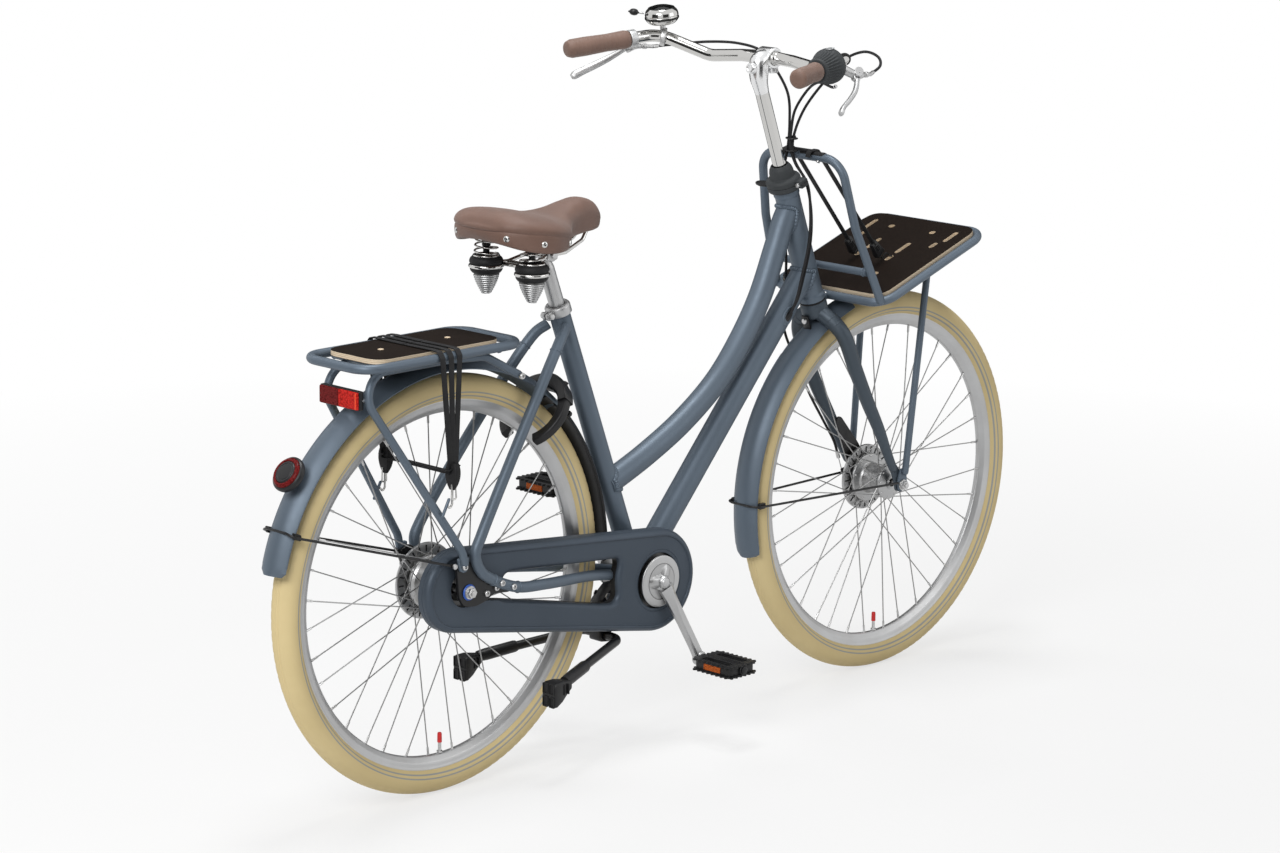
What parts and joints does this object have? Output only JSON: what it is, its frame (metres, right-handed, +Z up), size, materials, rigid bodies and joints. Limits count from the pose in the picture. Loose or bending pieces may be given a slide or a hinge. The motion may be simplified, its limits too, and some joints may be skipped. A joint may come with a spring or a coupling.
{
  "type": "dutch city bike",
  "caption": "Step-through city bicycle with front and rear carriers, full mudguards, enclosed chain, sprung saddle and swept handlebar.",
  "frame": {"origin": "on the ground, midway between the bicycle's front and rear ends and in its middle plane", "axes": "+X forwards, the way it rides; +Y to the rider's left; +Z up"},
  "size_m": [1.8598, 0.6598, 1.2657],
  "materials": {
    "slate_paint": "satin",
    "black_plastic": "matte",
    "black_metal": "satin",
    "black_rubber": "matte",
    "cream_tyre": "matte",
    "polished_alloy": "polished",
    "chrome": "mirror",
    "bright_steel": "brushed",
    "brown_cover": "satin",
    "plywood": "film faced",
    "red_lens": "gloss",
    "lamp_body": "matte"
  },
  "bodies": {
    "frame": {"head_tube": "slate_paint", "steering_lock": "black_plastic", "top_tube": "slate_paint", "down_tube": "slate_paint", "seat_tube": "slate_paint", "bottom_bracket_shell": "slate_paint", "rear_stay_right": "slate_paint", "rear_stay_left": "slate_paint", "seat_clamp": "polished_alloy", "rear_mudguard": "slate_paint", "rear_carrier": "slate_paint", "rear_board": "plywood", "rear_straps": "black_rubber", "rear_reflector": "red_lens", "rear_light": "black_plastic", "ring_lock": "black_metal", "chaincase": "slate_paint", "chain": "bright_steel", "rear_axle": "bright_steel", "rear_brake_plate": "bright_steel"},
    "steering": {"fork": "slate_paint", "front_mudguard": "slate_paint", "front_carrier": "slate_paint", "front_board": "plywood", "front_straps": "black_rubber", "headlamp": "lamp_body", "front_axle": "bright_steel", "front_brake_plate": "black_metal", "frame_cables": "black_rubber", "front_brake_cable": "black_rubber"},
    "cockpit": {"stem": "polished_alloy", "handlebar": "chrome", "grip_left": "brown_cover", "grip_right": "brown_cover", "brake_perch_left": "polished_alloy", "brake_perch_right": "polished_alloy", "bell": "chrome"},
    "saddle": {"saddle_cushion": "brown_cover", "saddle_frame": "chrome", "saddle_spring_right": "black_metal", "saddle_spring_left": "black_metal", "seatpost": "polished_alloy"},
    "front_wheel": {"front_tyre": "cream_tyre", "front_rim": "polished_alloy", "front_hub": "polished_alloy"},
    "rear_wheel": {"rear_tyre": "cream_tyre", "rear_rim": "polished_alloy", "rear_hub": "polished_alloy"},
    "crank": {"crank_right": "polished_alloy", "crank_left": "polished_alloy"},
    "sprocket": {"rear_sprocket": "bright_steel"},
    "right_pedal": {"pedal_right": "black_plastic"},
    "left_pedal": {"pedal_left": "black_plastic"},
    "stand": {"kickstand": "black_metal"},
    "lock_lever": {"steering_lock_lever": "black_plastic"},
    "lock_bolt": {"ring_lock_bolt": "bright_steel"},
    "right_brake_lever": {"brake_lever_right": "polished_alloy"},
    "left_brake_lever": {"brake_lever_left": "polished_alloy"},
    "shifter": {"grip_shifter": "black_plastic"},
    "bell_thumb_lever": {"bell_lever": "black_plastic"}
  },
  "joints": [
    {"name": "steering_turn", "type": "hinge", "parent": "frame", "child": "steering", "pos_m": [0.375, 0, 0.733], "axis": [-0.3469, 0, 0.9379], "range_deg": [-55, 55], "deforming": ["frame_cables"]},
    {"name": "stem_height", "type": "slide", "parent": "steering", "child": "cockpit", "axis": [-0.3469, 0, 0.9379], "range_m": [-0.03, 0.04], "deforming": ["frame_cables", "front_brake_cable"]},
    {"name": "right_brake", "type": "hinge", "parent": "cockpit", "child": "right_brake_lever", "pos_m": [0.1706, -0.27596, 1.18818], "axis": [0.114, 0.6084, -0.7854], "range_deg": [0, 22], "stiffness_Nm_per_rad": 0.6, "springref_deg": -17.19},
    {"name": "left_brake", "type": "hinge", "parent": "cockpit", "child": "left_brake_lever", "pos_m": [0.1706, 0.27596, 1.18818], "axis": [-0.114, 0.6084, 0.7854], "range_deg": [0, 22], "stiffness_Nm_per_rad": 0.6, "springref_deg": -17.19},
    {"name": "shifter_turn", "type": "hinge", "parent": "cockpit", "child": "shifter", "pos_m": [0.1363, -0.24669, 1.20587], "axis": [-0.9632, -0.2524, -0.0927], "range_deg": [-75, 75]},
    {"name": "bell_lever_turn", "type": "hinge", "parent": "cockpit", "child": "bell_thumb_lever", "pos_m": [0.1976, 0.21877, 1.23081], "axis": [-0.1191, 0, 0.9929], "range_deg": [-25, 0], "stiffness_Nm_per_rad": 0.05, "springref_deg": 5.73},
    {"name": "steering_lock_turn", "type": "hinge", "parent": "frame", "child": "lock_lever", "pos_m": [0.375, 0, 0.733], "axis": [-0.3469, 0, 0.9379], "range_deg": [0, 30]},
    {"name": "ring_lock_slide", "type": "hinge", "parent": "frame", "child": "lock_bolt", "pos_m": [-0.3302, 0, 0.62529], "axis": [-0.766, 0, 0.6428], "range_deg": [-74, 0]},
    {"name": "saddle_height", "type": "slide", "parent": "frame", "child": "saddle", "axis": [-0.3571, 0, 0.9341], "range_m": [-0.08, 0.06]},
    {"name": "front_wheel_spin", "type": "hinge", "parent": "steering", "child": "front_wheel", "pos_m": [0.569, 0, 0.361], "axis": [0, 1, 0], "continuous": true},
    {"name": "rear_wheel_spin", "type": "hinge", "parent": "frame", "child": "rear_wheel", "pos_m": [-0.552, 0, 0.361], "axis": [0, 1, 0], "continuous": true},
    {"name": "crank_spin", "type": "hinge", "parent": "frame", "child": "crank", "pos_m": [-0.083, 0, 0.293], "axis": [0, 1, 0], "continuous": true, "deforming": ["chain"]},
    {"name": "sprocket_spin", "type": "hinge", "parent": "frame", "child": "sprocket", "pos_m": [-0.552, 0, 0.361], "axis": [0, 1, 0], "continuous": true},
    {"name": "right_pedal_spin", "type": "hinge", "parent": "crank", "child": "right_pedal", "pos_m": [-0.0058, -0.15, 0.1415], "axis": [0, 1, 0], "continuous": true},
    {"name": "left_pedal_spin", "type": "hinge", "parent": "crank", "child": "left_pedal", "pos_m": [-0.1602, 0.144, 0.4445], "axis": [0, 1, 0], "continuous": true},
    {"name": "stand_fold", "type": "hinge", "parent": "frame", "child": "stand", "pos_m": [-0.167, 0, 0.2], "axis": [0, 1, 0], "range_deg": [-95, 0]}
  ],
  "couplings": [
    {"joint": "sprocket_spin", "follows": "crank_spin", "ratio": 2}
  ]
}
